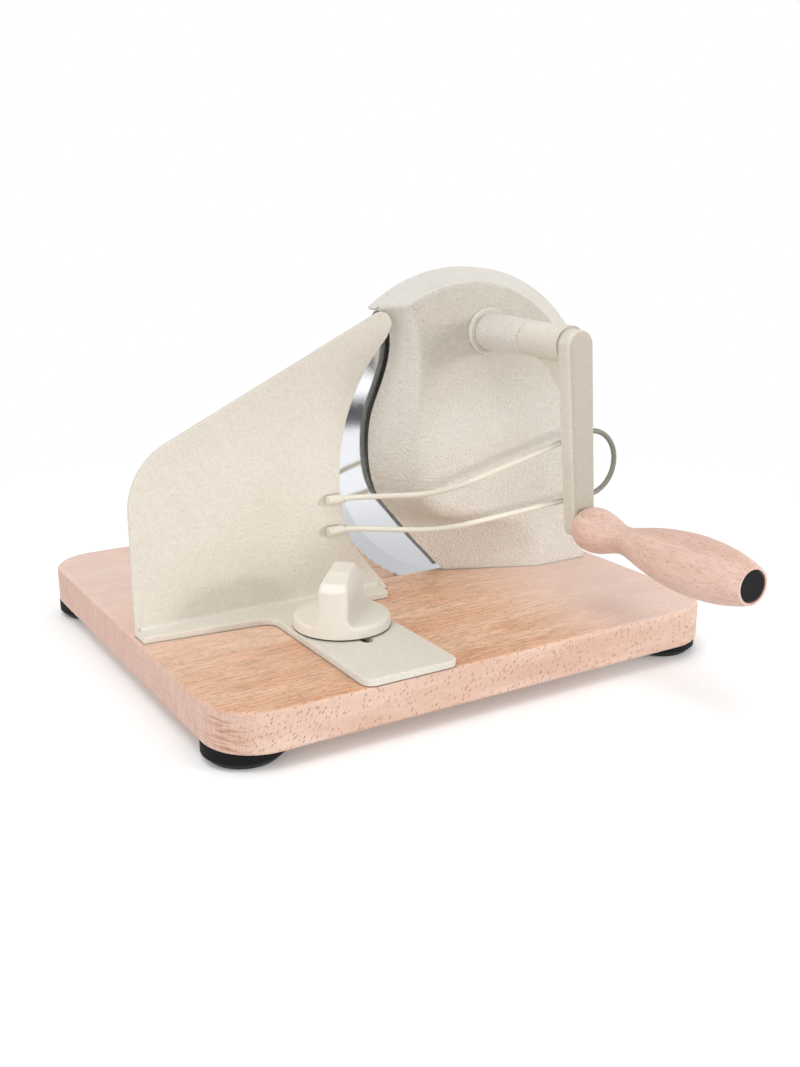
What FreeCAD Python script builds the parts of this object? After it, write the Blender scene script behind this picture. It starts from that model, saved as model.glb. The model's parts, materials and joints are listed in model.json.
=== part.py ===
import FreeCAD, Part
import math
import os
import re

import Sketcher
from FreeCAD import Placement, Rotation, Vector

# A hand cranked food slicer in millimetres. A round wave edged blade turns on
# a stud inside a cast cover and is driven by the crank through two spur gears.
# The cover stands on a beech board, and a stop plate that slides on the board
# sets how thick the slices are.
# X runs along the board's front edge, Y from front to back and Z up from the
# table. The blade and the crank both turn about axes along Y. The origin is on
# the table, under the middle of the whole slicer.

BOARD = {
    "board_length": 305.0,
    "board_depth": 285.0,
    "board_thickness": 22.0,
    "board_corner_radius": 28.5,
    "board_edge_round": 2.0,
}

FEET = {
    "foot_radius": 20.8,
    "foot_height": 9.0,
    "foot_bevel": 3.5,
    "foot_web": 4.5,
    "foot_inset_side": 20.8,
    "foot_inset_front": 26.5,
    "foot_screw_radius": 2.0,
    "foot_screw_head_radius": 4.2,
    "foot_screw_head_height": 2.6,
    "foot_screw_bite": 12.0,
    "foot_well_gap": 1.0,
    "screw_clearance": 0.25,
}

BLADE = {
    "blade_radius": 95.0,
    "blade_thickness": 1.4,
    "blade_edge_thickness": 0.3,
    "blade_bevel_width": 9.0,
    "blade_scallops": 96.0,
    "scallop_depth": 0.9,
    "blade_rear": 140.0,
    "blade_dip": 10.5,
    "axle_inset": 88.0,
    "slot_width": 5.0,
    "slot_end_gap": 11.0,
    "slot_floor_gap": 3.0,
}

DRIVE = {
    "gear_module": 2.0,
    "pinion_teeth": 20.0,
    "wheel_teeth": 44.0,
    "gear_width": 8.0,
    "pinion_overhang": 1.0,
    "tooth_play": 0.3,
    "wheel_web_recess": 2.0,
    "axle_radius": 5.0,
    "axle_thread_radius": 4.0,
    "bush_wall": 2.0,
    "running_gap": 0.04,
    "end_gap": 0.4,
    "hub_wall": 3.5,
    "hub_flange_radius": 24.0,
    "hub_flange_thickness": 4.0,
    "blade_screw_circle": 17.5,
    "blade_screw_count": 3.0,
    "blade_screw_radius": 2.0,
    "blade_screw_head_radius": 3.6,
    "blade_sink_gap": 0.1,
    "blade_eye_gap": 1.5,
    "axle_screw_radius": 2.5,
    "axle_screw_head_radius": 8.5,
    "axle_screw_head_height": 2.4,
    "axle_screw_length": 8.0,
    "axle_screw_bevel": 1.5,
    "axle_sunk": 1.2,
    "clip_thickness": 1.0,
    "clip_radius": 8.0,
    "clip_groove_depth": 1.0,
    "shaft_tail": 1.0,
    "gear_rim": 4.0,
}

COVER = {
    "cover_depth": 24.5,
    "cover_blade_gap": 5.6,
    "cover_wall": 3.0,
    "rim_gap": 1.3,
    "rim_wall": 2.2,
    "rim_proud": 2.0,
    "crown_taper": 17.5,
    "crown_shift_left": 13.0,
    "crown_shift_up": 11.0,
    "cover_flank_round": 10.0,
    "cover_crown_round": 2.0,
    "cover_base_right": 79.0,
    "cover_base_flare": 4.0,
    "beak_degrees": 128.0,
    "rim_low_degrees": -32.0,
    "crown_beak_degrees": 119.0,
    "crown_low_degrees": -6.0,
    "boss_radius": 9.7,
    "boss_root_radius": 10.8,
    "boss_bead_radius": 2.8,
    "boss_length": 40.5,
    "bearing_boss_radius": 11.0,
    "bearing_boss_length": 6.5,
    "bush_length": 12.0,
    "screw_pillar_radius": 6.0,
    "screw_pillar_height": 15.0,
    "cover_screw_radius": 2.5,
    "cover_screw_head_radius": 4.8,
    "cover_screw_head_height": 3.4,
    "cover_screw_bite": 10.0,
    "cover_screw_sunk": 2.0,
    "cover_screw_left": 29.0,
    "cover_screw_side": 9.0,
    "cover_screw_flank": 6.5,
    "cover_screw_front": 13.0,
    "cover_screw_rear": 8.0,
}

CRANK = {
    "crank_hub_radius": 9.8,
    "crank_hub_length": 33.4,
    "crank_radius": 98.0,
    "crank_turned": 4.5,
    "arm_top_radius": 8.4,
    "arm_end_radius": 7.4,
    "arm_thickness": 9.2,
    "arm_edge_round": 2.8,
    "gusset_radius": 36.0,
    "gusset_drop": 34.0,
    "gusset_width": 8.0,
    "shaft_radius": 5.0,
    "shaft_seat": 26.0,
    "handle_bolt_radius": 3.5,
    "handle_bolt_head_radius": 6.0,
    "handle_bolt_head_height": 4.0,
    "handle_bolt_floor": 1.5,
}

HANDLE = {
    "handle_length": 118.0,
    "handle_gap": 0.5,
    "handle_face_radius": 10.2,
    "handle_bulb_radius": 12.2,
    "handle_neck_radius": 7.6,
    "handle_palm_radius": 15.3,
    "handle_end_radius": 9.4,
    "handle_cap_radius": 8.2,
    "handle_cap_seat": 10.0,
    "handle_cap_sunk": 0.4,
    "handle_cap_bevel": 0.8,
    "handle_cap_gap": 1.0,
    "handle_play": 0.06,
}

STOP = {
    "slice_opening": 15.4,
    "plate_thickness": 3.2,
    "plate_left": 2.5,
    "plate_left_height": 90.6,
    "plate_shoulder_round": 39.0,
    "plate_tip_run": 11.0,
    "plate_tip_rise": 6.7,
    "plate_tip_drop": 20.7,
    "plate_tip_round": 6.5,
    "plate_hip_rise": 28.0,
    "plate_edge_round": 0.8,
    "plate_bay_gap": 13.0,
    "plate_bay_shift": 15.8,
    "plate_bay_drop": 13.3,
    "plate_toe": 61.0,
    "flange_thickness": 3.5,
    "flange_reach_left": 11.2,
    "flange_reach_tongue": 18.5,
    "flange_reach_right": 14.5,
    "flange_toe_back": 5.0,
    "flange_toe_front": 8.5,
    "tongue_width": 53.5,
    "tongue_overhang": 0.5,
    "tongue_neck_round": 8.0,
    "tongue_corner_round": 6.0,
    "plate_root_round": 2.0,
    "slide_gap": 0.15,
    "stop_slot_width": 6.6,
    "stop_slot_forward": 30.5,
    "stop_slot_back": 9.0,
    "guide_spread": 19.0,
    "guide_width": 5.0,
    "guide_height": 3.0,
    "guide_length": 42.0,
    "guide_front": 58.0,
    "guide_gap": 0.3,
    "slide_closing": 15.0,
    "slide_opening": 5.0,
}

KNOB = {
    "knob_from_axle": 117.5,
    "knob_from_front": 72.6,
    "knob_turned": 40.0,
    "knob_radius": 26.0,
    "knob_flange_height": 5.8,
    "grip_width": 15.2,
    "grip_waist_depth": 1.8,
    "grip_waist_radius": 130.0,
    "grip_nose_bevel": 3.4,
    "grip_half_length": 24.0,
    "grip_shoulder_height": 28.4,
    "grip_height": 31.2,
    "grip_tail_height": 18.4,
    "grip_top_half_length": 9.0,
    "grip_round": 2.0,
    "grip_foot_round": 4.5,
    "insert_radius": 5.5,
    "insert_height": 12.0,
    "washer_radius": 24.8,
    "washer_thickness": 0.8,
    "clamp_bolt_radius": 3.0,
    "clamp_bolt_head_radius": 8.0,
    "clamp_bolt_head_height": 3.3,
    "clamp_bolt_short": 1.0,
    "clamp_bolt_sunk": 1.0,
    "clamp_bolt_bevel": 1.0,
    "thread_gap": 0.05,
}

WIRE = {
    "wire_radius": 1.6,
    "wire_bend_radius": 60.0,
    "wire_boss_radius": 2.7,
    "wire_boss_length": 9.2,
    "wire_boss_left": 101.6,
    "wire_bore_floor": 2.0,
    "wire_boss_sunk": 0.1,
    "wire_stand_off": 18.8,
    "wire_bend_x": 87.0,
    "wire_front_x": 44.0,
    "wire_loop_x": 65.0,
    "wire_upper_left": 59.6,
    "wire_upper_front": 61.8,
    "wire_upper_right": 87.5,
    "wire_lower_left": 41.5,
    "wire_lower_front": 40.3,
    "wire_lower_right": 47.3,
}

SIZES = {**BOARD, **FEET, **BLADE, **DRIVE, **COVER, **CRANK, **HANDLE, **STOP, **KNOB, **WIRE}

# Heights and places that follow from the driving sizes.
PLACES = {
    "board_top": "foot_height + board_thickness",
    "axle_x": "board_length - axle_inset",
    "axle_rise": "blade_radius - blade_dip",
    "axle_z": "board_top + axle_rise",
    "gear_centres": "gear_module * (pinion_teeth + wheel_teeth) / 2",
    "crank_z": "axle_z + gear_centres",
    "blade_front": "blade_rear - blade_thickness",
    "flank_y": "blade_front - cover_blade_gap",
    "cover_front": "flank_y - cover_depth",
    "rim_rear": "blade_rear + rim_proud",
    "rim_inner_radius": "blade_radius + rim_gap",
    "rim_radius": "rim_inner_radius + rim_wall",
    "boss_end": "cover_front - boss_length",
    "cavity_front": "cover_front + cover_wall",
    "cover_screw_well": "cover_screw_head_height + cover_screw_sunk",
    "bearing_end": "cavity_front + bearing_boss_length",
    "hub_front": "bearing_end + end_gap",
    "hub_radius": "axle_radius + bush_wall + hub_wall",
    "wheel_front": "hub_front + pinion_overhang + end_gap",
    "hub_bore": "axle_radius + bush_wall",
    "arm_rear": "boss_end - end_gap - crank_hub_length",
    "arm_front": "arm_rear - arm_thickness",
    "arm_lean": "(arm_top_radius - arm_end_radius) / crank_radius",
    "handle_x": "axle_x + crank_radius * sin(crank_turned)",
    "handle_z": "crank_z - crank_radius * cos(crank_turned)",
    "handle_start": "arm_front - handle_gap",
    "handle_eye": "arm_thickness - handle_bolt_floor",
    "handle_end": "handle_start - handle_length",
    "plate_rear": "blade_front - slice_opening",
    "plate_front": "plate_rear - plate_thickness",
    "knob_x": "axle_x - knob_from_axle",
    "knob_y": "knob_from_front",
    "stop_z": "board_top + slide_gap",
    "washer_z": "stop_z + flange_thickness + slide_gap",
    "knob_z": "washer_z + washer_thickness",
    "slot_y": "blade_rear - blade_thickness / 2",
    "wire_front_y": "cover_front - wire_stand_off",
    "wire_root_y": "plate_front - wire_boss_radius + wire_boss_sunk",
    "wire_reach": "axle_x + wire_loop_x + (wire_upper_right - wire_lower_right) / 2 + wire_radius",
    "origin_x": "max(wire_reach; board_length; axle_x + rim_radius) / 2",
    "origin_y": "(board_depth + handle_end) / 2",
}

ALONG_Y = Rotation(Vector(1, 0, 0), -90)
ALONG_MINUS_Y = Rotation(Vector(1, 0, 0), 90)

doc = FreeCAD.newDocument("food_slicer")
dims = doc.addObject("Spreadsheet::Sheet", "dims")


def fill_sheet():
    """Write every driving size and every place that follows from them."""
    rows = [(name, str(number)) for name, number in SIZES.items()]
    rows += [(name, "=" + formula) for name, formula in PLACES.items()]
    for row, (name, text) in enumerate(rows, start=1):
        dims.set(f"A{row}", name)
        dims.set(f"B{row}", text)
        dims.setAlias(f"B{row}", name)
    doc.recompute()


fill_sheet()
NAMES = set(SIZES) | set(PLACES)


def value(expression):
    """The number that an expression in the sheet's names comes to."""
    return float(dims.evalExpression(str(expression)))


def bound(expression):
    """The same expression with each sheet name led by the sheet's own name."""
    text = str(expression)
    return re.sub(r"[a-z_]+", lambda m: "dims." + m[0] if m[0] in NAMES else m[0], text)


def tie(item, field, expression):
    item.setExpression(field, bound(expression))


def place(item, x, y, z, turn=None):
    """Stand a sub-part at board coordinates x, y and at height z above the table."""
    item.Placement = Placement(Vector(), turn or Rotation())
    tie(item, "Placement.Base.x", f"({x}) - origin_x")
    tie(item, "Placement.Base.y", f"({y}) - origin_y")
    tie(item, "Placement.Base.z", z)
    return item


def new_body(label):
    body = doc.addObject("PartDesign::Body", label)
    body.Label = label
    return body


def new_sketch(body, role, offset=None):
    """A sketch on one of the body's own origin planes, moved out along its normal by offset."""
    sketch = body.newObject("Sketcher::SketchObject", body.Name + "_sketch")
    plane = next(item for item in body.Origin.OriginFeatures if item.Role == role)
    sketch.AttachmentSupport = [(plane, "")]
    sketch.MapMode = "FlatFace"
    if offset:
        tie(sketch, "AttachmentOffset.Base.z", offset)
    return sketch


def hold(sketch, line, end, x, y):
    """Hold one point of a sketch at x, y from the sketch's origin."""
    for kind, expression in (("DistanceX", x), ("DistanceY", y)):
        index = sketch.addConstraint(Sketcher.Constraint(kind, -1, 1, line, end, value(expression)))
        tie(sketch, f"Constraints[{index}]", expression)


def polygon(sketch, corners):
    """A closed outline of straight lines through the corners."""
    points = [Vector(value(x), value(y), 0) for x, y in corners]
    first = sketch.GeometryCount
    last = first + len(points) - 1
    for start, end in zip(points, points[1:] + points[:1]):
        sketch.addGeometry(Part.LineSegment(start, end))
    for line in range(first, last + 1):
        following = line + 1 if line < last else first
        sketch.addConstraint(Sketcher.Constraint("Coincident", line, 2, following, 1))
    for line, (x, y) in enumerate(corners, start=first):
        hold(sketch, line, 1, x, y)


def circle(sketch, x, y, radius):
    centre = Vector(value(x), value(y), 0)
    line = sketch.addGeometry(Part.Circle(centre, Vector(0, 0, 1), value(radius)))
    hold(sketch, line, 3, x, y)
    index = sketch.addConstraint(Sketcher.Constraint("Radius", line, value(radius)))
    tie(sketch, f"Constraints[{index}]", radius)


def pad(body, sketch, length, backwards=False, both_ways=False):
    feature = body.newObject("PartDesign::Pad", body.Name + "_pad")
    feature.Profile = sketch
    tie(feature, "Length", length)
    feature.Reversed = backwards
    feature.Midplane = both_ways
    doc.recompute()
    return feature


def cut(body, sketch, depth=None, backwards=False):
    """A pocket to a depth, or right through both ways. It must take material away."""
    before = body.Shape.Volume
    feature = body.newObject("PartDesign::Pocket", body.Name + "_pocket")
    feature.Profile = sketch
    if depth is None:
        feature.Type = "ThroughAll"
        feature.Midplane = True
    else:
        tie(feature, "Length", depth)
        feature.Reversed = backwards
    doc.recompute()
    if not body.Shape.Volume < before:
        raise RuntimeError(f"a pocket of {body.Label} cuts nothing")
    return feature


def cut_stadium(body, level, x, y, half_run, radius, depth, along_x):
    """A round ended slot cut down from a level, with its two end centres half_run from x, y."""
    sketch = new_sketch(body, "XY_Plane", level)
    if along_x:
        corners = [
            (f"{x} - {half_run}", f"{y} - {radius}"),
            (f"{x} + {half_run}", f"{y} - {radius}"),
            (f"{x} + {half_run}", f"{y} + {radius}"),
            (f"{x} - {half_run}", f"{y} + {radius}"),
        ]
        ends = [(f"{x} - {half_run}", y), (f"{x} + {half_run}", y)]
    else:
        corners = [
            (f"{x} - {radius}", f"{y} - {half_run}"),
            (f"{x} + {radius}", f"{y} - {half_run}"),
            (f"{x} + {radius}", f"{y} + {half_run}"),
            (f"{x} - {radius}", f"{y} + {half_run}"),
        ]
        ends = [(x, f"{y} - {half_run}"), (x, f"{y} + {half_run}")]
    polygon(sketch, corners)
    cut(body, sketch, depth)
    for end_x, end_y in ends:
        end_sketch = new_sketch(body, "XY_Plane", level)
        circle(end_sketch, end_x, end_y, radius)
        cut(body, end_sketch, depth)


def soften(body, radius, wanted, kind="PartDesign::Fillet"):
    """Round or bevel the edges of the body's last feature that the test wants."""
    base = body.Tip
    names = [f"Edge{i}" for i, edge in enumerate(base.Shape.Edges, start=1) if wanted(edge)]
    if not names:
        raise RuntimeError(f"no edge to soften on {body.Label}")
    feature = body.newObject(kind, body.Name + "_edge")
    feature.Base = (base, names)
    tie(feature, "Radius" if kind.endswith("Fillet") else "Size", radius)
    doc.recompute()
    return feature


def turn(body, profile, kind="PartDesign::Revolution"):
    """Turn corners given as radius and height about the body's own Z, to add to it or to cut it."""
    sketch = new_sketch(body, "XZ_Plane")
    polygon(sketch, profile)
    feature = body.newObject(kind, body.Name + "_turn")
    feature.Profile = sketch
    feature.ReferenceAxis = (sketch, ["V_Axis"])
    feature.Angle = 360
    doc.recompute()


def turned(label, profile):
    """A body of revolution about its own Z from corners given as radius and height."""
    body = new_body(label)
    turn(body, profile)
    return body


def sleeve(label, inner, outer, length):
    """A plain round bush that stands on its own origin."""
    return turned(label, [(inner, "0"), (outer, "0"), (outer, length), (inner, length)])


def formed(label, shape):
    """A sub-part whose shape is worked out here from the sheet's sizes."""
    item = doc.addObject("Part::Feature", label)
    item.Label = label
    item.Shape = shape
    return item


def spun(profile):
    """A solid turned about Z from plain numbers of radius and height."""
    points = [Vector(radius, 0, height) for radius, height in profile]
    face = Part.Face(Part.makePolygon(points + points[:1]))
    return face.revolve(Vector(), Vector(0, 0, 1), 360)


def rod(radius, length, start=0.0):
    """A round bar along Y that starts at y = start."""
    return Part.makeCylinder(radius, length, Vector(0, start, 0), Vector(0, 1, 0))


def at_height(edge, height):
    box = edge.BoundBox
    return abs(box.ZMin - height) < 0.01 and abs(box.ZMax - height) < 0.01


def upright(edge):
    box = edge.BoundBox
    return box.ZLength > 0.5 and box.XLength < 0.01 and box.YLength < 0.01


def on_spots(shape, spots):
    """Separate copies of one fastener, moved to each spot."""
    copies = []
    for spot in spots:
        copy = shape.copy()
        copy.translate(Vector(*spot))
        copies.append(copy)
    return Part.makeCompound(copies)


def foot_spots():
    """Names and board coordinates of the four feet, as sheet expressions."""
    sides = {"left": "foot_inset_side", "right": "board_length - foot_inset_side"}
    ends = {"front": "foot_inset_front", "rear": "board_depth - foot_inset_front"}
    return [(f"{end}_{side}", x, y) for end, y in ends.items() for side, x in sides.items()]


def cover_screw_spots():
    """Board coordinates of the screws that come up through the board into the cover."""
    return [
        ("axle_x + cover_screw_left", "flank_y - cover_screw_flank"),
        ("axle_x + cover_base_right - cover_screw_side", "cover_front + cover_screw_front"),
        ("axle_x + cover_base_right - cover_screw_side", "rim_rear - cover_screw_rear"),
    ]


def make_board():
    board = new_body("base_board")
    outline = new_sketch(board, "XY_Plane")
    polygon(outline, [
        ("0", "0"),
        ("board_length", "0"),
        ("board_length", "board_depth"),
        ("0", "board_depth"),
    ])
    pad(board, outline, "board_thickness")
    soften(board, "board_corner_radius", upright)
    top = value("board_thickness")
    soften(board, "board_edge_round", lambda e: at_height(e, 0) or at_height(e, top))

    chord = "sqrt(blade_radius ^ 2 - axle_rise ^ 2)"
    half_run = f"({chord} + slot_end_gap - slot_width / 2)"
    depth = "blade_dip + slot_floor_gap"
    cut_stadium(board, "board_thickness", "axle_x", "slot_y", half_run, "(slot_width / 2)", depth, True)

    half_groove = "((guide_length + slide_closing + slide_opening) / 2 + guide_gap)"
    groove_y = "(guide_front + guide_length / 2 + (slide_closing - slide_opening) / 2)"
    for side in ("-", "+"):
        groove_x = f"(knob_x {side} guide_spread)"
        cut_stadium(
            board, "board_thickness", groove_x, groove_y, half_groove,
            "(guide_width / 2 + guide_gap)", "guide_height + guide_gap", False,
        )

    through = new_sketch(board, "XY_Plane")
    circle(through, "knob_x", "knob_y", "clamp_bolt_radius + screw_clearance")
    for x, y in cover_screw_spots():
        circle(through, x, y, "cover_screw_radius + screw_clearance")
    cut(board, through)

    bolt_well = new_sketch(board, "XY_Plane")
    circle(bolt_well, "knob_x", "knob_y", "clamp_bolt_head_radius + screw_clearance")
    cut(board, bolt_well, "clamp_bolt_head_height + clamp_bolt_sunk", backwards=True)

    screw_wells = new_sketch(board, "XY_Plane")
    for x, y in cover_screw_spots():
        circle(screw_wells, x, y, "cover_screw_head_radius + screw_clearance")
    cut(board, screw_wells, "cover_screw_well", backwards=True)

    pilots = new_sketch(board, "XY_Plane")
    for _, x, y in foot_spots():
        circle(pilots, x, y, "foot_screw_radius")
    cut(board, pilots, "foot_screw_bite + screw_clearance", backwards=True)
    return place(board, "0", "0", "foot_height")


def make_feet():
    """Four rubber feet, each with a well from below for its screw."""
    hole = "foot_screw_radius + screw_clearance"
    well = "foot_screw_head_radius + foot_well_gap"
    step = "foot_height - foot_web"
    profile = [
        (well, "0"),
        ("foot_radius - foot_bevel", "0"),
        ("foot_radius", "foot_bevel"),
        ("foot_radius", "foot_height"),
        (hole, "foot_height"),
        (hole, step),
        (well, step),
    ]
    return [place(turned(f"foot_{name}", profile), x, y, "0") for name, x, y in foot_spots()]


def make_foot_screws():
    shank, head = value("foot_screw_radius"), value("foot_screw_head_radius")
    seat = value("foot_height - foot_web")
    tip = value("foot_height + foot_screw_bite")
    screw = spun([
        (0, seat - value("foot_screw_head_height")),
        (head * 0.8, seat - value("foot_screw_head_height")),
        (head, seat - value("foot_screw_head_height") / 2),
        (head, seat),
        (shank, seat),
        (shank, tip - shank),
        (0, tip),
    ])
    spots = [(value(x), value(y), 0) for _, x, y in foot_spots()]
    return place(formed("foot_screws", on_spots(screw, spots)), "0", "0", "0")


def make_clamp_bolt():
    """The cup headed bolt that stands up through the board for the knob."""
    length = "knob_z + insert_height - clamp_bolt_short - foot_height - clamp_bolt_sunk"
    head = "clamp_bolt_head_height"
    bolt = turned("clamp_bolt", [
        ("0", "0"),
        ("clamp_bolt_head_radius * 0.6", "0"),
        ("clamp_bolt_head_radius", f"{head} * 0.6"),
        ("clamp_bolt_head_radius", head),
        ("clamp_bolt_radius", head),
        ("clamp_bolt_radius", f"{length} - clamp_bolt_bevel"),
        ("clamp_bolt_radius - clamp_bolt_bevel", length),
        ("0", length),
    ])
    return place(bolt, "knob_x", "knob_y", "foot_height + clamp_bolt_sunk")


def arc_edge(centre, radius, start, end, y):
    """A circle's arc in the plane y, from one angle to another in degrees."""
    points = []
    for degrees in (start, (start + end) / 2, end):
        turn = math.radians(degrees)
        points.append(Vector(centre[0] + radius * math.cos(turn), y, centre[1] + radius * math.sin(turn)))
    return Part.Arc(*points).toShape()


def edge_points(shares, inset, foot, beak):
    """The cover's free edge from its foot to its beak, moved inwards by inset."""
    scale = value("rim_radius")
    raw = [foot] + [(x * scale, z * scale) for x, z in shares] + [beak]
    points = [foot]
    for before, here, after in zip(raw, raw[1:], raw[2:]):
        run, rise = after[0] - before[0], after[1] - before[1]
        step = inset / math.hypot(run, rise)
        points.append((here[0] + rise * step, here[1] - run * step))
    return points + [beak]


def cover_outline(crown, radius, angles, corner, shares, foot, inset, y):
    """One closed section of the cover: crown arc, right side, base and the free edge at its left."""
    arc = arc_edge(crown, radius - inset, angles[0] - math.degrees(2 * inset / radius), angles[1], y)
    beak = arc.Vertexes[0].Point
    base = foot[1]
    low_left = (foot[0] + inset, base)
    low_right = Vector(corner - inset, y, base)
    spline = Part.BSplineCurve()
    spline.interpolate([Vector(x, y, z) for x, z in edge_points(shares, inset, low_left, (beak.x, beak.z))])
    edges = [
        arc,
        Part.makeLine(arc.Vertexes[1].Point, low_right),
        Part.makeLine(low_right, Vector(low_left[0], y, base)),
        spline.toShape(),
    ]
    return Part.Wire(edges)


def rear_section(inset, y, base):
    """The cover's section at the blade side, about the blade's axis."""
    shares = [
        (-0.274, -0.710),
        (-0.366, -0.609),
        (-0.416, -0.548),
        (-0.508, -0.437),
        (-0.604, -0.315),
        (-0.665, -0.122),
        (-0.670, 0.041),
        (-0.645, 0.193),
        (-0.584, 0.345),
        (-0.523, 0.546),
        (-0.530, 0.680),
    ]
    angles = value("beak_degrees"), value("rim_low_degrees")
    foot = (-0.142 * value("rim_radius"), base)
    corner = value("cover_base_right + cover_base_flare")
    return cover_outline((0, 0), value("rim_radius"), angles, corner, shares, foot, inset, y)


def front_section(inset, y, base):
    """The cover's smaller front section, with the same run of edges as the rear one."""
    shares = [
        (0.386, -0.670),
        (0.244, -0.548),
        (0.000, -0.508),
        (-0.264, -0.457),
        (-0.411, -0.305),
        (-0.450, -0.102),
        (-0.455, 0.060),
        (-0.452, 0.210),
        (-0.450, 0.360),
        (-0.455, 0.540),
        (-0.480, 0.690),
    ]
    crown = (-value("crown_shift_left"), value("crown_shift_up"))
    angles = value("crown_beak_degrees"), value("crown_low_degrees")
    foot = (0.426 * value("rim_radius"), base)
    radius = value("rim_radius - crown_taper")
    return cover_outline(crown, radius, angles, value("cover_base_right"), shares, foot, inset, y)


def make_cover():
    """The cast cover: a lofted shell with a rim round the blade, a crank boss and screw pillars."""
    wall, front_y, flank_y = value("cover_wall"), value("cover_front"), value("flank_y")
    rise, rim_rear = value("axle_rise"), value("rim_rear")
    shell = Part.makeLoft([front_section(0, front_y, -rise), rear_section(0, flank_y, -rise)], True, True)

    def front_rim(kinds):
        found = []
        for edge in shell.Edges:
            box = edge.BoundBox
            flat = max(abs(box.YMin - front_y), abs(box.YMax - front_y)) < 0.01
            if flat and edge.Curve.TypeId in kinds and box.ZMax > wall - rise:
                found.append(edge)
        return found

    shell = shell.makeFillet(value("cover_flank_round"), front_rim(["Part::GeomBSplineCurve"]))
    shell = shell.makeFillet(value("cover_crown_round"), front_rim(["Part::GeomCircle", "Part::GeomLine"]))
    rim_face = Part.Face(rear_section(0, flank_y, -rise))
    rim = rim_face.extrude(Vector(0, rim_rear - flank_y, 0))
    outside = shell.fuse(rim)

    crank_at = Vector(0, 0, value("gear_centres"))
    boss = Part.makeCone(
        value("boss_root_radius"), value("boss_radius"), value("boss_length") + wall,
        crank_at + Vector(0, front_y + wall, 0), Vector(0, -1, 0),
    )
    bead = Part.makeTorus(
        value("boss_root_radius"), value("boss_bead_radius"), crank_at + Vector(0, front_y, 0), Vector(0, 1, 0),
    )
    outside = outside.fuse([boss, bead])

    below = -rise - wall
    cavity = Part.makeLoft([
        front_section(wall, front_y + wall, below),
        rear_section(wall, flank_y, below),
    ], True, True)
    well = rod(value("rim_inner_radius"), rim_rear - flank_y + wall, flank_y)
    hollow = cavity.fuse(well)

    bearing, length = value("bearing_boss_radius"), value("bearing_boss_length") + 1
    inner_bearing = rod(bearing, length, value("cavity_front") - 1)
    inner_bearing.translate(crank_at)
    axle_boss = rod(bearing, length, value("cavity_front") - 1)
    solid = outside.cut(hollow).fuse([inner_bearing, axle_boss])

    pillar_radius, pillar_height = value("screw_pillar_radius"), value("screw_pillar_height")
    bored = value("cover_screw_bite") + wall
    holes = []
    for x, y in cover_screw_spots():
        spot = Vector(value(x) - value("axle_x"), value(y), -rise)
        pillar = Part.makeCylinder(pillar_radius, pillar_height, spot)
        rib = Part.makeBox(wall, spot.y - front_y, pillar_height, Vector(spot.x - wall / 2, front_y, -rise))
        solid = solid.fuse(pillar.fuse(rib).common(outside).cut(well))
        low = Vector(spot.x, spot.y, below)
        holes.append(Part.makeCylinder(value("cover_screw_radius"), bored, low))

    crank_bore = rod(value("shaft_radius + bush_wall"), flank_y - value("boss_end") + wall, value("boss_end - 1"))
    crank_bore.translate(crank_at)
    axle_bore = rod(value("axle_thread_radius"), flank_y - front_y, front_y + wall)
    solid = solid.cut(holes + [crank_bore, axle_bore]).removeSplitter()
    return place(formed("gear_cover", solid), "axle_x", "0", "axle_z")


def make_cover_screws():
    """Machine screws from the wells under the board up into the cover's pillars."""
    shank, head = value("cover_screw_radius"), value("cover_screw_head_radius")
    seat = value("foot_height + cover_screw_well")
    low = seat - value("cover_screw_head_height")
    tip = value("board_top + cover_screw_bite")
    screw = spun([(0, low), (head, low), (head, seat), (shank, seat), (shank, tip), (0, tip)])
    spots = [(value(x), value(y), 0) for x, y in cover_screw_spots()]
    return place(formed("cover_screws", on_spots(screw, spots)), "0", "0", "0")


def make_axle():
    """The fixed stud that the blade turns on, screwed into the cover's inner boss."""
    thread_in = "bearing_end - cavity_front - end_gap"
    end = f"({thread_in}) + blade_rear - bearing_end - axle_sunk"
    axle = turned("blade_axle", [
        ("axle_screw_radius", f"{end} - axle_screw_length - 2 * end_gap"),
        ("0", f"{end} - axle_screw_length - 2 * end_gap"),
        ("0", "0"),
        ("axle_thread_radius", "0"),
        ("axle_thread_radius", thread_in),
        ("axle_radius", thread_in),
        ("axle_radius", end),
        ("axle_screw_radius", end),
    ])
    return place(axle, "axle_x", "cavity_front + end_gap", "axle_z", ALONG_Y)


def make_axle_screw():
    """The low headed screw that keeps the blade unit on its stud."""
    screw = turned("axle_screw", [
        ("0", "0"),
        ("axle_screw_radius", "0"),
        ("axle_screw_radius", "axle_screw_length"),
        ("axle_screw_head_radius", "axle_screw_length"),
        ("axle_screw_head_radius", "axle_screw_length + axle_screw_head_height / 2"),
        ("axle_screw_head_radius - axle_screw_bevel", "axle_screw_length + axle_screw_head_height"),
        ("0", "axle_screw_length + axle_screw_head_height"),
    ])
    return place(screw, "axle_x", "blade_rear - axle_sunk - axle_screw_length", "axle_z", ALONG_Y)


def make_crank_bushes():
    inner, outer = "shaft_radius + running_gap", "shaft_radius + bush_wall"
    front = sleeve("crank_bush_front", inner, outer, "bush_length")
    rear = sleeve("crank_bush_rear", inner, outer, "bush_length")
    return [
        place(front, "axle_x", "boss_end", "crank_z", ALONG_Y),
        place(rear, "axle_x", "bearing_end - bush_length", "crank_z", ALONG_Y),
    ]


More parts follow.
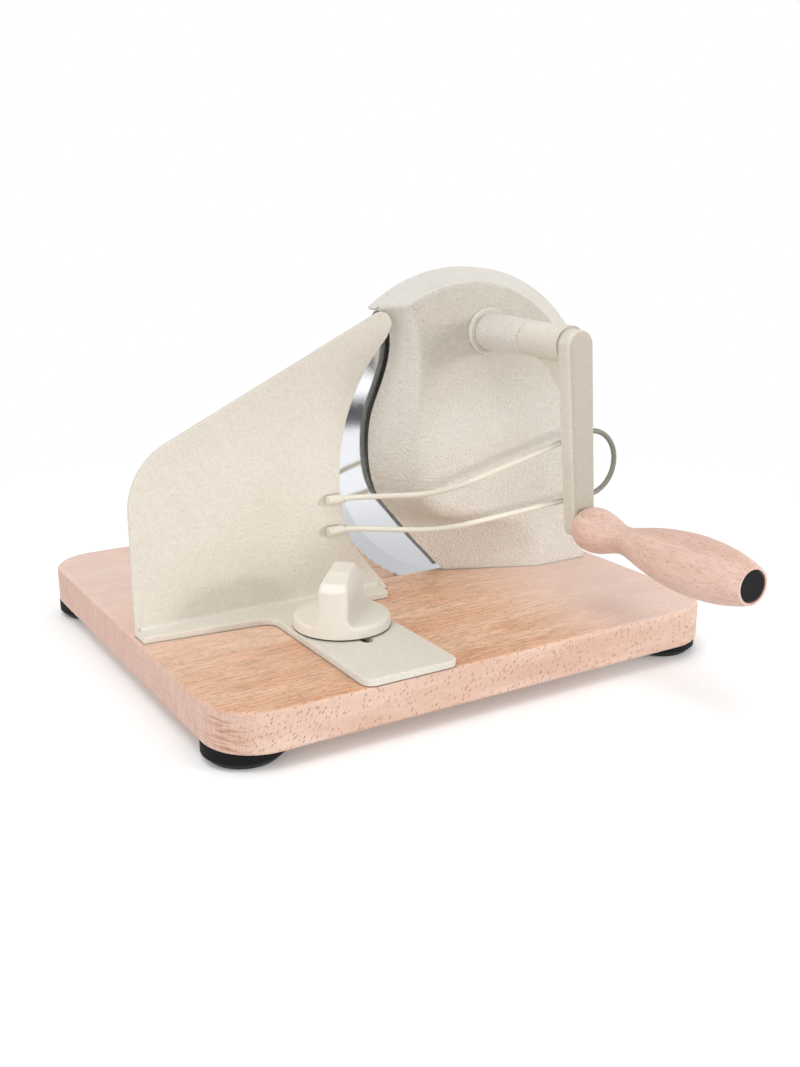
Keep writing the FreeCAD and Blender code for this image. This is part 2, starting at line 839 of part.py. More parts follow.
def gear_face(teeth, play, phase):
    """A spur gear's outline with involute flanks, as a face in the plane y = 0."""
    module = value("gear_module")
    pitch = module * teeth / 2
    base = pitch * math.cos(math.radians(20))
    tip, root = pitch + module, pitch - 1.25 * module
    half_tooth = math.pi / (2 * teeth) - play / (4 * pitch)

    def involute(angle):
        return math.tan(angle) - angle

    def flank_angle(radius):
        at_pitch = involute(math.acos(base / pitch))
        return half_tooth + at_pitch - involute(math.acos(min(1.0, base / radius)))

    low = max(base, root)
    steps = 4
    radii = [low + (tip - low) * i / steps for i in range(steps + 1)]
    points = []
    for tooth in range(teeth):
        middle = 2 * math.pi * tooth / teeth + phase
        if root < base:
            points.append((root, middle - flank_angle(low)))
        points += [(radius, middle - flank_angle(radius)) for radius in radii]
        points += [(radius, middle + flank_angle(radius)) for radius in reversed(radii)]
        if root < base:
            points.append((root, middle + flank_angle(low)))
    corners = [Vector(r * math.cos(a), 0, r * math.sin(a)) for r, a in points]
    return Part.Face(Part.makePolygon(corners + corners[:1]))


def make_pinion():
    """The small gear on the crank shaft. One tooth points down at the blade gear."""
    width = value("gear_width + pinion_overhang * 2")
    face = gear_face(round(value("pinion_teeth")), value("tooth_play"), -math.pi / 2)
    gear = face.extrude(Vector(0, width, 0))
    gear = gear.cut(rod(value("shaft_radius"), width))
    return place(formed("drive_pinion", gear), "axle_x", "wheel_front - pinion_overhang", "crank_z")


def make_blade_gear():
    """The large gear on the blade hub. One gap points up at the pinion, and both faces are thinned."""
    teeth = round(value("wheel_teeth"))
    width = value("gear_width")
    gear = gear_face(teeth, value("tooth_play"), math.pi / 2 + math.pi / teeth).extrude(Vector(0, width, 0))
    rim = value("gear_module") * (teeth / 2 - 1.25) - value("gear_rim")
    boss = value("hub_radius + gear_rim")
    recess = value("wheel_web_recess")
    for start in (0.0, width - recess):
        gear = gear.cut(rod(rim, recess, start).cut(rod(boss, recess, start)))
    gear = gear.cut(rod(value("hub_radius"), width))
    return place(formed("blade_gear", gear), "axle_x", "wheel_front", "axle_z")


def make_hub():
    """The flanged hub that carries the blade and its gear."""
    length = "blade_front - hub_front"
    hub = turned("blade_hub", [
        ("hub_bore", "0"),
        ("hub_radius", "0"),
        ("hub_radius", f"{length} - hub_flange_thickness"),
        ("hub_flange_radius", f"{length} - hub_flange_thickness"),
        ("hub_flange_radius", length),
        ("hub_bore", length),
    ])
    holes = new_sketch(hub, "XY_Plane", length)
    count = round(value("blade_screw_count"))
    for index in range(count):
        angle = f"(90 + 360 / {count} * {index})"
        circle(
            holes, f"blade_screw_circle * cos({angle})", f"blade_screw_circle * sin({angle})",
            "blade_screw_radius",
        )
    cut(hub, holes, "hub_flange_thickness + 1")
    place(hub, "axle_x", "hub_front", "axle_z", ALONG_Y)
    bush = sleeve("hub_bush", "axle_radius + running_gap", "hub_bore", length)
    return [hub, place(bush, "axle_x", "hub_front", "axle_z", ALONG_Y)]


def screw_turns():
    """The blade screws' places round the axle as x, z pairs."""
    count = round(value("blade_screw_count"))
    circle_radius = value("blade_screw_circle")
    turns = [math.radians(-90 + 360 / count * index) for index in range(count)]
    return [(circle_radius * math.cos(turn), circle_radius * math.sin(turn)) for turn in turns]


def make_blade():
    """The round blade: flat on the food side, bevelled on the other, with a scalloped edge."""
    radius, thick = value("blade_radius"), value("blade_thickness")
    edge, bevel = value("blade_edge_thickness"), value("blade_bevel_width")
    hole = value("axle_screw_head_radius + blade_eye_gap")
    disc = spun([
        (hole, 0), (radius, 0), (radius, -edge), (radius - bevel, -thick), (hole, -thick),
    ])
    count = round(value("blade_scallops"))
    depth = value("scallop_depth")
    edges = []
    for index in range(count):
        corners = []
        for share, out in ((0, radius), (0.5, radius - depth), (1, radius)):
            turn = 2 * math.pi * (index + share) / count
            corners.append(Vector(out * math.cos(turn), out * math.sin(turn), -thick - 1))
        edges.append(Part.Arc(*corners).toShape())
    wave = Part.Face(Part.Wire(edges)).extrude(Vector(0, 0, thick + 2))
    blade = disc.common(wave)
    shank, head = value("blade_screw_radius"), value("blade_screw_head_radius")
    gap = value("blade_sink_gap")
    for x, z in screw_turns():
        sink = Part.makeCone(shank + gap, head + gap, thick, Vector(x, -z, -thick))
        blade = blade.cut(sink)
    return place(formed("blade", blade), "axle_x", "blade_rear", "axle_z", ALONG_Y)


def make_blade_screws():
    """Countersunk screws, flush with the blade's food side."""
    shank, head = value("blade_screw_radius"), value("blade_screw_head_radius")
    thick = value("blade_thickness")
    length = value("hub_flange_thickness") + thick
    screw = spun([(0, 0), (head, 0), (shank, -thick), (shank, -length), (0, -length)])
    spots = [(x, -z, 0) for x, z in screw_turns()]
    return place(formed("blade_screws", on_spots(screw, spots)), "axle_x", "blade_rear", "axle_z", ALONG_Y)


def make_shaft():
    """The crank shaft, with a groove behind the pinion for its clip."""
    back = "wheel_front + gear_width + pinion_overhang"
    start = "boss_end - end_gap - shaft_seat"
    groove = f"({back}) - ({start})"
    shaft = turned("crank_shaft", [
        ("0", "0"),
        ("shaft_radius", "0"),
        ("shaft_radius", groove),
        ("shaft_radius - clip_groove_depth", groove),
        ("shaft_radius - clip_groove_depth", f"{groove} + clip_thickness"),
        ("shaft_radius", f"{groove} + clip_thickness"),
        ("shaft_radius", f"{groove} + clip_thickness + shaft_tail"),
        ("0", f"{groove} + clip_thickness + shaft_tail"),
    ])
    place(shaft, "axle_x", start, "crank_z", ALONG_Y)

    thick, inner = value("clip_thickness"), value("shaft_radius - clip_groove_depth")
    outer = value("clip_radius")
    ring = rod(outer, thick).cut(rod(inner, thick))
    mouth = Part.makeBox(inner * 1.7, thick, outer, Vector(-inner * 0.85, 0, 0))
    clip = formed("pinion_clip", ring.cut(mouth))
    return [shaft, place(clip, "axle_x", back, "crank_z")]


def make_arm():
    """The crank casting: a round hub, a flat arm that hangs from its end and a gusset between them."""
    arm = new_body("crank_arm")
    web = new_sketch(arm, "YZ_Plane")
    meet = "(crank_hub_length - gusset_radius + sqrt(gusset_radius ^ 2 - gusset_drop ^ 2))"
    low = "-crank_hub_radius - gusset_drop"
    front = "-crank_hub_length - arm_thickness / 2"
    polygon(web, [
        (front, "0"),
        (front, low),
        ("-crank_hub_length", low),
        (f"-{meet}", "-crank_hub_radius"),
        (f"-{meet}", "0"),
    ])
    pad(arm, web, "gusset_width", both_ways=True)
    scoop = new_sketch(arm, "YZ_Plane")
    circle(scoop, "gusset_radius - crank_hub_length", low, "gusset_radius")
    cut(arm, scoop)
    hub = new_sketch(arm, "XZ_Plane")
    circle(hub, "0", "0", "crank_hub_radius")
    pad(arm, hub, "crank_hub_length")

    for height, radius in (("0", "arm_top_radius"), ("-crank_radius", "arm_end_radius")):
        end = new_sketch(arm, "XZ_Plane", "crank_hub_length")
        circle(end, "0", height, radius)
        pad(arm, end, "arm_thickness")
    bar = new_sketch(arm, "XZ_Plane", "crank_hub_length")
    corners = []
    for side in ("", "-"):
        pair = [
            (f"{side}arm_top_radius * sqrt(1 - arm_lean ^ 2)", "-arm_top_radius * arm_lean"),
            (f"{side}arm_end_radius * sqrt(1 - arm_lean ^ 2)", "-crank_radius - arm_end_radius * arm_lean"),
        ]
        corners += pair if side else pair[::-1]
    polygon(bar, corners)
    pad(arm, bar, "arm_thickness")

    front = value("-crank_hub_length - arm_thickness")

    def front_rim(edge):
        box = edge.BoundBox
        return abs(box.YMin - front) < 0.01 and abs(box.YMax - front) < 0.01

    soften(arm, "arm_edge_round", front_rim)

    seat = new_sketch(arm, "XZ_Plane")
    circle(seat, "0", "0", "shaft_radius")
    cut(arm, seat, "shaft_seat", backwards=True)
    eye = new_sketch(arm, "XZ_Plane", "crank_hub_length + arm_thickness")
    circle(eye, "0", "-crank_radius", "handle_bolt_radius")
    cut(arm, eye, "handle_eye")
    swing = Rotation(Vector(0, 1, 0), -value("crank_turned"))
    return place(arm, "axle_x", "boss_end - end_gap", "crank_z", swing)


def make_handle_bolt():
    """The bolt that the handle turns on, with its head inside the handle's outer end."""
    length = "handle_gap + handle_eye + handle_length - handle_cap_seat"
    bolt = turned("handle_bolt", [
        ("0", "0"),
        ("handle_bolt_radius", "0"),
        ("handle_bolt_radius", f"{length} + handle_gap"),
        ("handle_bolt_head_radius", f"{length} + handle_gap"),
        ("handle_bolt_head_radius", f"{length} + handle_gap + handle_bolt_head_height"),
        ("0", f"{length} + handle_gap + handle_bolt_head_height"),
    ])
    return place(bolt, "handle_x", "arm_rear - handle_bolt_floor", "handle_z", ALONG_MINUS_Y)


def make_handle():
    """The turned beech grip and the plug that closes its outer end."""
    length = value("handle_length")
    face, bulb, neck = value("handle_face_radius"), value("handle_bulb_radius"), value("handle_neck_radius")
    palm, end = value("handle_palm_radius"), value("handle_end_radius")
    stations = [
        (0.0, face),
        (0.08, bulb),
        (0.16, bulb * 0.6 + neck * 0.4),
        (0.255, neck),
        (0.37, neck * 0.7 + palm * 0.3),
        (0.50, neck * 0.27 + palm * 0.73),
        (0.69, palm),
        (0.85, palm * 0.78 + end * 0.22),
        (1.0, end),
    ]
    spline = Part.BSplineCurve()
    spline.interpolate([Vector(radius, 0, share * length) for share, radius in stations])
    side = spline.toShape()
    first, last = side.Vertexes[0].Point, side.Vertexes[-1].Point
    foot, head = Vector(0, 0, 0), Vector(0, 0, length)
    closing = [Part.makeLine(last, head), Part.makeLine(head, foot), Part.makeLine(foot, first)]
    section = Part.Face(Part.Wire([side] + closing))
    grip = section.revolve(Vector(), Vector(0, 0, 1), 360)
    grip = grip.cut(Part.makeCylinder(value("handle_bolt_radius + handle_play"), length))
    seat = value("handle_cap_seat")
    well = value("handle_cap_radius")
    grip = grip.cut(Part.makeCylinder(well, seat, Vector(0, 0, length - seat)))
    place(formed("handle_grip", grip), "handle_x", "handle_start", "handle_z", ALONG_MINUS_Y)

    depth = "handle_cap_seat - handle_bolt_head_height - handle_gap - handle_cap_gap - handle_cap_sunk"
    cap = turned("handle_cap", [
        ("0", "0"),
        ("handle_cap_radius", "0"),
        ("handle_cap_radius", f"{depth} - handle_cap_bevel"),
        ("handle_cap_radius - handle_cap_bevel", depth),
        ("0", depth),
    ])
    return place(cap, "handle_x", f"handle_end + handle_cap_sunk + {depth}", "handle_z", ALONG_MINUS_Y)


def bent_path(points, radii, share=0.45):
    """Straight runs between the points, joined by tangent arcs that each use at most a share of a run."""
    edges = []
    last = points[0]
    for before, here, after, radius in zip(points, points[1:], points[2:], radii):
        towards_last = (before - here).normalize()
        towards_next = (after - here).normalize()
        half = towards_last.getAngle(towards_next) / 2
        longest = share * min((before - here).Length, (after - here).Length)
        reach = min(radius / math.tan(half), longest)
        bow = reach * math.tan(half)
        start, end = here + towards_last * reach, here + towards_next * reach
        middle = (towards_last + towards_next).normalize()
        crest = here + middle * (bow / math.sin(half) - bow)
        edges += [Part.makeLine(last, start), Part.Arc(start, crest, end).toShape()]
        last = end
    edges.append(Part.makeLine(last, points[-1]))
    return edges


def bay_x(height):
    """Where the stop plate's hollow right edge is at a height above the board."""
    radius = value("blade_radius + plate_bay_gap")
    centre_x = value("axle_x + plate_bay_shift")
    drop = height - value("axle_rise - plate_bay_drop")
    return centre_x - math.sqrt(radius ** 2 - drop ** 2)


def plate_face():
    """The stop plate's outline in the plane y = 0, from its left end to the hollow beside the blade."""
    left, toe = value("plate_left"), value("axle_x - plate_toe")
    beak = math.radians(value("beak_degrees"))
    tip_x = value("axle_x + plate_tip_run") + value("rim_radius") * math.cos(beak)
    tip_z = value("axle_rise + plate_tip_rise") + value("rim_radius") * math.sin(beak)
    upper_z = tip_z - value("plate_tip_drop")
    lower_z = value("flange_thickness + plate_hip_rise")
    upper, middle, lower = (Vector(bay_x(z), 0, z) for z in (upper_z, (upper_z + lower_z) / 2, lower_z))
    corner = Vector(left, 0, 0)
    rounds = [value("plate_shoulder_round"), value("plate_tip_round")]
    top = bent_path([corner, Vector(left, 0, value("plate_left_height")), Vector(tip_x, 0, tip_z), upper], rounds, 0.9)
    edges = top + [
        Part.Arc(upper, middle, lower).toShape(),
        Part.makeLine(lower, Vector(toe, 0, 0)),
        Part.makeLine(Vector(toe, 0, 0), corner),
    ]
    return Part.Face(Part.Wire(edges))


def make_stop_plate():
    """The stop plate: an upright fence, its foot and a slotted tongue that the knob clamps."""
    thick, flange = value("plate_thickness"), value("flange_thickness")
    fence = plate_face().extrude(Vector(0, thick, 0))
    hip = value("flange_thickness + plate_hip_rise")
    free = [e for e in fence.Edges if e.BoundBox.YLength < 0.01 and e.BoundBox.ZMax > thick]
    over_hip = [e for e in free if all(abs(corner.Z - hip) > 0.01 for corner in e.Vertexes)]
    fence = fence.makeFillet(value("plate_edge_round"), over_hip)
    left, toe = value("plate_left"), value("axle_x - plate_toe - flange_toe_back")
    half = value("tongue_width / 2")
    knob_x = value("knob_x")
    tongue_front = -value("plate_front + tongue_overhang")
    neck = -value("flange_reach_tongue")
    plan = [
        (left, thick),
        (toe, thick),
        (value("axle_x - plate_toe - flange_toe_front"), -value("flange_reach_right")),
        (knob_x + half, -value("flange_reach_right")),
        (knob_x + half, tongue_front),
        (knob_x - half, tongue_front),
        (knob_x - half, neck),
        (left, -value("flange_reach_left")),
    ]
    corners = [Vector(x, y, 0) for x, y in plan]
    foot = Part.Face(Part.makePolygon(corners + corners[:1])).extrude(Vector(0, 0, flange))

    def corner_edges(spot):
        found = []
        for edge in foot.Edges:
            corner = edge.BoundBox
            if upright(edge) and math.hypot(corner.XMin - spot[0], corner.YMin - spot[1]) < 0.1:
                found.append(edge)
        return found

    foot = foot.makeFillet(value("tongue_neck_round"), corner_edges(plan[6]))
    foot = foot.makeFillet(value("tongue_corner_round"), corner_edges(plan[4]) + corner_edges(plan[5]))
    brim = [e for e in foot.Edges if at_height(e, flange) and e.BoundBox.YMax < thick]
    foot = foot.makeFillet(value("plate_edge_round"), brim)

    root = value("plate_root_round")
    run = toe - left - 2 * root
    seam = Part.makeBox(run, root, root, Vector(left + root, -root, flange))
    seam = seam.cut(Part.makeCylinder(root, run, Vector(left + root, -root, flange + root), Vector(1, 0, 0)))
    plate = fence.fuse([foot, seam])

    knob_y = value("knob_y - plate_front")
    slot = value("stop_slot_width")
    front, back = knob_y - value("stop_slot_forward"), knob_y + value("stop_slot_back")
    first, last = front + slot / 2, back - slot / 2
    tools = [Part.makeBox(slot, last - first, flange + 2, Vector(knob_x - slot / 2, first, -1))]
    for y in (first, last):
        tools.append(Part.makeCylinder(slot / 2, flange + 2, Vector(knob_x, y, -1)))
    plate = plate.cut(tools)

    guide, deep = value("guide_width"), value("guide_height")
    start = value("guide_front - plate_front")
    for side in (-1, 1):
        x = knob_x + side * value("guide_spread")
        key = Part.makeBox(guide, value("guide_length"), deep, Vector(x - guide / 2, start, -deep))
        plate = plate.fuse(key)

    boss, length = value("wire_boss_radius"), value("wire_boss_length")
    for height in (value("wire_upper_left"), value("wire_lower_left")):
        back = value("wire_root_y - plate_front")
        spot = Vector(value("axle_x - wire_boss_left"), back, height - value("slide_gap"))
        plate = plate.fuse(Part.makeCylinder(boss, length, spot, Vector(1, 0, 0)))
        inner = spot + Vector(value("wire_bore_floor"), 0, 0)
        bore = Part.makeCylinder(value("wire_radius"), length, inner, Vector(1, 0, 0))
        plate = plate.cut(bore)
    plate = plate.removeSplitter()
    return place(formed("stop_plate", plate), "0", "plate_front", "stop_z")


def make_wire():
    """The bent guard wire. Both ends sit in the stop plate, and it stands clear of the cover."""
    root_y, front_y = value("wire_root_y"), value("wire_front_y")
    bend_x = value("axle_x - wire_bend_x")
    front_x = value("axle_x - wire_front_x")
    loop_x = value("axle_x + wire_loop_x")
    root_x = value("axle_x - wire_boss_left + wire_bore_floor")
    low_end = Vector(loop_x, front_y, value("wire_lower_right"))
    low_front = Vector(front_x, front_y, value("wire_lower_front"))
    top_front = Vector(front_x, front_y, value("wire_upper_front"))
    top_end = Vector(loop_x, front_y, value("wire_upper_right"))

    # The two legs' lines meet at a point far to the left. The loop touches both at one distance from it.
    low_slope = (low_end.z - low_front.z) / (low_end.x - low_front.x)
    top_slope = (top_end.z - top_front.z) / (top_end.x - top_front.x)
    apex_x = front_x - (top_front.z - low_front.z) / (top_slope - low_slope)
    apex = Vector(apex_x, front_y, low_front.z + low_slope * (apex_x - front_x))
    reach = (low_end - apex).Length
    top_end = apex + (top_end - apex).normalize() * reach
    middle = (low_end + top_end) / 2 - apex
    half_chord = (top_end - low_end).Length / 2
    half_angle = math.asin(half_chord / reach)
    loop_radius = reach * math.tan(half_angle)
    crest = apex + middle.normalize() * (reach / math.cos(half_angle) + loop_radius)
    top_leg = [
        Vector(root_x, root_y, value("wire_upper_left")),
        Vector(bend_x, root_y, value("wire_upper_left")),
        top_front,
        top_end,
    ]
    low_leg = [
        low_end,
        low_front,
        Vector(bend_x, root_y, value("wire_lower_left")),
        Vector(root_x, root_y, value("wire_lower_left")),
    ]
    bends = [value("wire_bend_radius")] * 2
    loop = Part.Arc(top_end, crest, low_end).toShape()
    edges = bent_path(top_leg, bends) + [loop] + bent_path(low_leg, bends)
    path = Part.Wire(Part.__sortEdges__(edges))
    start = top_leg[0]
    section = Part.Wire(Part.makeCircle(value("wire_radius"), start, Vector(1, 0, 0)))
    solid = path.makePipeShell([section], True, True)
    return place(formed("guard_wire", solid), "0", "0", "board_top")


def make_knob():
    """The clamp knob: a tall waisted bar that flares into a round skirt."""
    knob = new_body("clamp_knob")
    side = new_sketch(knob, "YZ_Plane")
    half, top_half = "grip_half_length", "grip_top_half_length"
    polygon(side, [
        ("-knob_radius", "0"),
        ("knob_radius", "0"),
        ("knob_radius", "grip_tail_height"),
        (top_half, "grip_height"),
        (f"-{top_half}", "grip_height"),
        (f"grip_nose_bevel - {half}", "grip_shoulder_height"),
        ("-knob_radius", f"grip_shoulder_height - grip_nose_bevel - knob_radius + {half}"),
    ])
    pad(knob, side, "2 * knob_radius", both_ways=True)
    turn(knob, [
        ("knob_radius", "0"),
        ("2 * knob_radius", "0"),
        ("2 * knob_radius", "grip_height"),
        (half, "grip_height"),
        ("knob_radius", "knob_flange_height / 2"),
    ], "PartDesign::Groove")
    waist = new_sketch(knob, "XY_Plane", "knob_flange_height")
    for sign in ("", "-"):
        centre = f"{sign}(grip_width / 2 - grip_waist_depth + grip_waist_radius)"
        circle(waist, centre, "0", "grip_waist_radius")
    cut(knob, waist, "grip_height", backwards=True)
    flange, tail, bar = value("knob_flange_height"), value("grip_tail_height"), value("grip_width")

    def bar_foot(edge):
        return at_height(edge, flange) and abs(edge.BoundBox.Center.x) < bar / 2

    def skirt_or_top(edge):
        skirt = at_height(edge, flange) and abs(edge.BoundBox.Center.x) > bar
        return skirt or edge.BoundBox.ZMin > tail - 0.01

    soften(knob, "grip_foot_round", bar_foot)
    soften(knob, "grip_round", skirt_or_top)
    bore = new_sketch(knob, "XY_Plane")
    circle(bore, "0", "0", "insert_radius")
    cut(knob, bore, "insert_height", backwards=True)
    spin = Rotation(Vector(0, 0, 1), -value("knob_turned"))
    place(knob, "knob_x", "knob_y", "knob_z", spin)

    insert = sleeve("knob_insert", "clamp_bolt_radius + thread_gap", "insert_radius", "insert_height")
    place(insert, "knob_x", "knob_y", "knob_z", spin)
    washer = sleeve("knob_washer", "clamp_bolt_radius + thread_gap", "washer_radius", "washer_thickness")
    return place(washer, "knob_x", "knob_y", "washer_z", spin)


def build():
    make_board()
    make_feet()
    make_foot_screws()
    make_clamp_bolt()
    make_cover()
    make_cover_screws()
    make_axle()
    make_axle_screw()
    make_crank_bushes()
    make_pinion()
    make_blade_gear()
    make_hub()
    make_blade()
    make_blade_screws()
    make_shaft()
    make_arm()
    make_handle_bolt()
    make_handle()
    make_stop_plate()
    make_wire()
    make_knob()
    doc.recompute()


def export():
    """Check every object of the document and write each sub-part to its own file."""
    for item in doc.Objects:
        if {"Invalid", "Error"} & set(item.State):
            raise RuntimeError(f"{item.Label} failed: {item.State}")
    os.makedirs("parts", exist_ok=True)
    for item in doc.Objects:
        if item.TypeId not in ("PartDesign::Body", "Part::Feature"):
            continue
        shape = item.Shape
        if shape.isNull() or not shape.isValid():
            raise RuntimeError(f"{item.Label} has no valid shape")
        shape.exportStep(f"parts/{item.Label}.step")
        print(f"{item.Label}: {len(shape.Solids)} solid, {shape.Volume / 1000:.2f} cm3")


build()
export()
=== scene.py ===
import json
import math

import bmesh
import bpy
from mathutils import Euler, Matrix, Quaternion, Vector

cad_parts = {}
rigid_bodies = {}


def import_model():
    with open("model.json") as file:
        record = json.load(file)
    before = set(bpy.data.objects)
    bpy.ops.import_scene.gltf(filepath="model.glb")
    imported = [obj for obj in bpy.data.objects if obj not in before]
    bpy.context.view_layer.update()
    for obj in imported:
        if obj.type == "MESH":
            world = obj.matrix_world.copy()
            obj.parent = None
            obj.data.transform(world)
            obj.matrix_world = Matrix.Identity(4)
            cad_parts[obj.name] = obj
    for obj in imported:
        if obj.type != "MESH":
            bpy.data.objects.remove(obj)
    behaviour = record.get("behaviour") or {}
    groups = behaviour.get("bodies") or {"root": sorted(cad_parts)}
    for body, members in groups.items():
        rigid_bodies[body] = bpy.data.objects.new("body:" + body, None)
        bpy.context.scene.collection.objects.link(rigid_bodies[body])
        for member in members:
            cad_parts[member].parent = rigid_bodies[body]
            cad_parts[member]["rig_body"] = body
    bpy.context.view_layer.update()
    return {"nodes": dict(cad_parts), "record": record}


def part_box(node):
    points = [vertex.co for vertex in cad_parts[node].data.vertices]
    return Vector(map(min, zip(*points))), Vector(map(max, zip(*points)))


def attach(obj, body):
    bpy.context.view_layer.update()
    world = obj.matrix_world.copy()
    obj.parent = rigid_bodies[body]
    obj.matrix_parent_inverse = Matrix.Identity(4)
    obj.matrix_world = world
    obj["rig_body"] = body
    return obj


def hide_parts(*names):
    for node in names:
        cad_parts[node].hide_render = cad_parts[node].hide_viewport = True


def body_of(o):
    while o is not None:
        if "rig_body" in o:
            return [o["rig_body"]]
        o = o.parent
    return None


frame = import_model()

# A hand cranked food slicer on a beech board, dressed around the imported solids.
# X runs along the board's front edge, Y to the back and Z up, in metres.
# Colours of three numbers run from 0 to 255, and a pattern's scale is its count per metre.

NODES = frame["nodes"]
SHOWN = dict(NODES)  # the piece that shows for each node
WHITE = (1.0, 1.0, 1.0, 1.0)
BLACK = (0.0, 0.0, 0.0, 1.0)


def linear(red, green, blue):
    """A colour from 0 to 255 as a linear colour with alpha."""
    out = []
    for channel in (red, green, blue):
        share = channel / 255
        out.append(share / 12.92 if share <= 0.04045 else ((share + 0.055) / 1.055) ** 2.4)
    return (*out, 1.0)


def finished_mesh(name, shape):
    """The mesh of a shape, which is freed."""
    mesh = bpy.data.meshes.new(name)
    shape.to_mesh(mesh)
    shape.free()
    return mesh


def add_object(name, data):
    """A new object of a mesh, a lamp or a camera, in the scene."""
    item = bpy.data.objects.new(name, data)
    bpy.context.collection.objects.link(item)
    return item


# Materials


class Nodes:
    """A node tree being made: its nodes are added and wired by short calls."""

    def __init__(self, tree):
        self.tree = tree

    def wire(self, source, target):
        self.tree.links.new(source, target)

    def add(self, kind, settings=None, **inputs):
        """A node. Its inputs are given by name, or by number as _0, _1 and so on.

        Each is a number, a colour or the socket that feeds it."""
        node = self.tree.nodes.new("ShaderNode" + kind)
        for key, value in (settings or {}).items():
            setattr(node, key, value)
        for key, value in inputs.items():
            place = int(key[1:]) if key[1:].isdigit() else key.replace("_", " ")
            socket = node.inputs[place]
            if isinstance(value, bpy.types.NodeSocket):
                self.wire(value, socket)
            else:
                socket.default_value = value
        return node

    def math(self, operation, first, second=0.0):
        node = self.add("Math", {"operation": operation}, _0=first, _1=second)
        return node.outputs["Value"]

    def rise(self, value, first, last, low=0.0, high=1.0):
        """A number that goes smoothly from low to high while the value goes from first to last."""
        node = self.add(
            "MapRange", {"interpolation_type": "SMOOTHSTEP"}, Value=value,
            From_Min=first, From_Max=last, To_Min=low, To_Max=high,
        )
        return node.outputs["Result"]

    def reflected(self, path):
        """1 on the rays of reflections and of clear bodies, else 0."""
        return self.math(
            "MAXIMUM", path.outputs["Is Glossy Ray"], path.outputs["Is Transmission Ray"],
        )


class Shader(Nodes):
    """A material being made around its main surface shader."""

    def __init__(self, name, **sockets):
        self.material = bpy.data.materials.new(name)
        self.material.use_nodes = True
        super().__init__(self.material.node_tree)
        self.surface = self.tree.nodes["Principled BSDF"]
        for key, value in sockets.items():
            self.surface.inputs[key.replace("_", " ")].default_value = value

    def put(self, socket, source):
        self.wire(source, self.surface.inputs[socket])

    def place(self, scale=(1, 1, 1), turn=None):
        """Coordinates fixed to the piece, in metres, turned first and then stretched."""
        vector = self.add("TexCoord").outputs["Object"]
        if turn is not None:
            vector = self.add("Mapping", None, Vector=vector, Rotation=turn).outputs["Vector"]
        return self.add("Mapping", None, Vector=vector, Scale=scale).outputs["Vector"]

    def noise(self, vector, scale, detail, roughness=0.5, distortion=0.0):
        node = self.add(
            "TexNoise", None, Vector=vector, Scale=scale, Detail=detail, Roughness=roughness,
            Distortion=distortion,
        )
        return node.outputs["Fac"]

    def dashes(self, vector, scale, share, size):
        """Scattered marks, one in each of a share of the cells.

        They are as long as the coordinates are stretched."""
        node = self.add("TexVoronoi", None, Vector=vector, Scale=scale)
        near = self.ramp(node.outputs["Distance"], (size * 0.55, 1.0), (size, 0.0))
        pick = self.add("SeparateColor", None, Color=node.outputs["Color"]).outputs["Red"]
        return self.math("MULTIPLY", near, self.math("LESS_THAN", pick, share))

    def crease(self, reach, low=0.0):
        """1 in the open, and down to low where another surface is nearer than the reach: a mask
        for painted shade.
        """
        node = self.add("AmbientOcclusion", {"samples": 12}, Distance=reach)
        return self.ramp(node.outputs["AO"], (0.30, low), (0.80, 1.0))

    def along(self, axis, first, last, source="Object"):
        """A share that rises from 0 to 1 between two places on one axis of the coordinates."""
        split = self.add("SeparateXYZ", None, Vector=self.add("TexCoord").outputs[source])
        return self.rise(split.outputs[axis], first, last)

    def ramp(self, factor, *stops):
        """A colour ramp. Each stop is a place from 0 to 1 and a colour or a grey."""
        node = self.add("ValToRGB", None, Fac=factor)
        band = node.color_ramp
        while len(band.elements) < len(stops):
            band.elements.new(0.5)
        for element, (place, colour) in zip(band.elements, stops):
            element.position = place
            element.color = colour if isinstance(colour, tuple) else (colour, colour, colour, 1.0)
        return node.outputs["Color"]

    def mix(self, factor, first, second, blend="MIX"):
        settings = {"data_type": "RGBA", "blend_type": blend}
        return self.add("Mix", settings, _0=factor, _6=first, _7=second).outputs[2]

    def bump(self, height, distance, strength=1.0, under=None):
        node = self.add("Bump", None, Height=height, Distance=distance, Strength=strength)
        if under is not None:
            self.wire(under, node.inputs["Normal"])
        return node.outputs["Normal"]


